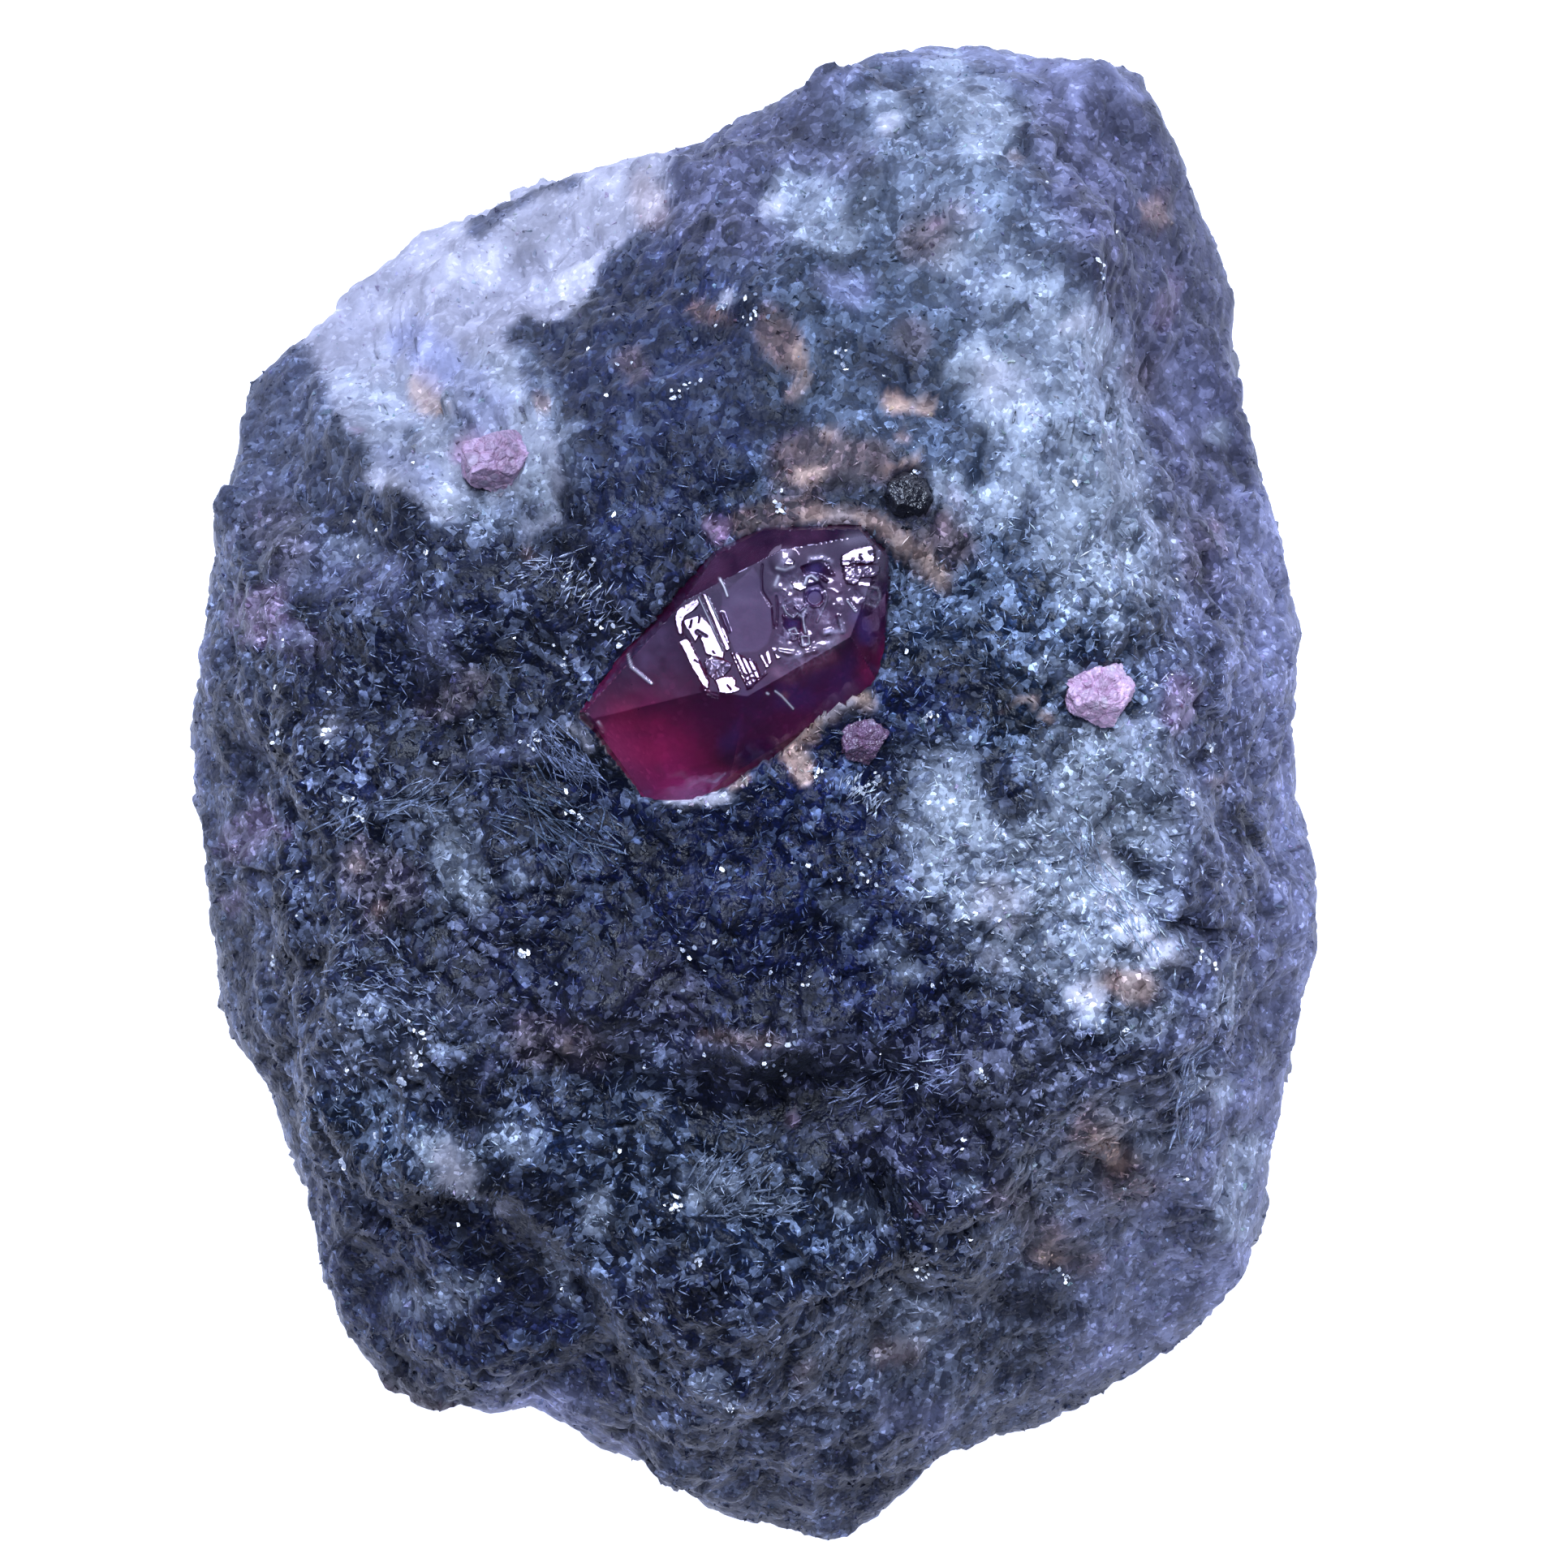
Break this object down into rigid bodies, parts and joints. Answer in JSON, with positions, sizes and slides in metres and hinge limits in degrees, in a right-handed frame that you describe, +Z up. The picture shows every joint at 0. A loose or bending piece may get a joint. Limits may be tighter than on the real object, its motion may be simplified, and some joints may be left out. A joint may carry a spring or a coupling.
{
  "type": "ruby crystal on matrix",
  "caption": "Rough lump of dark granular amphibole rock lying on a flat break, with a translucent red corundum crystal and smaller pink and dark grains set in its top.",
  "frame": {"origin": "middle of the flat break the stone lies on, under the middle of its outline", "axes": "+Z up out of the face that carries the ruby; +Y along the length of the stone towards its blunt end; +X across it to the right"},
  "size_m": [0.0338, 0.045, 0.0213],
  "materials": {
    "amphibole_rock": "fine granular break with glinting cleavage faces, pale feldspar and rusty stains",
    "ruby": "translucent red crystal with glossy growth terraces",
    "clouded_ruby": "rough purple-red crystal, slightly translucent",
    "pink_corundum": "pale pink-lilac grain with a granular broken face",
    "dark_mineral": "glossy near-black grain"
  },
  "bodies": {
    "root": {"matrix": "amphibole_rock", "ruby_crystal": "ruby", "ruby_small": "clouded_ruby", "pink_corundum_right": "pink_corundum", "pink_corundum_left": "pink_corundum", "dark_grain": "dark_mineral"}
  },
  "joints": []
}
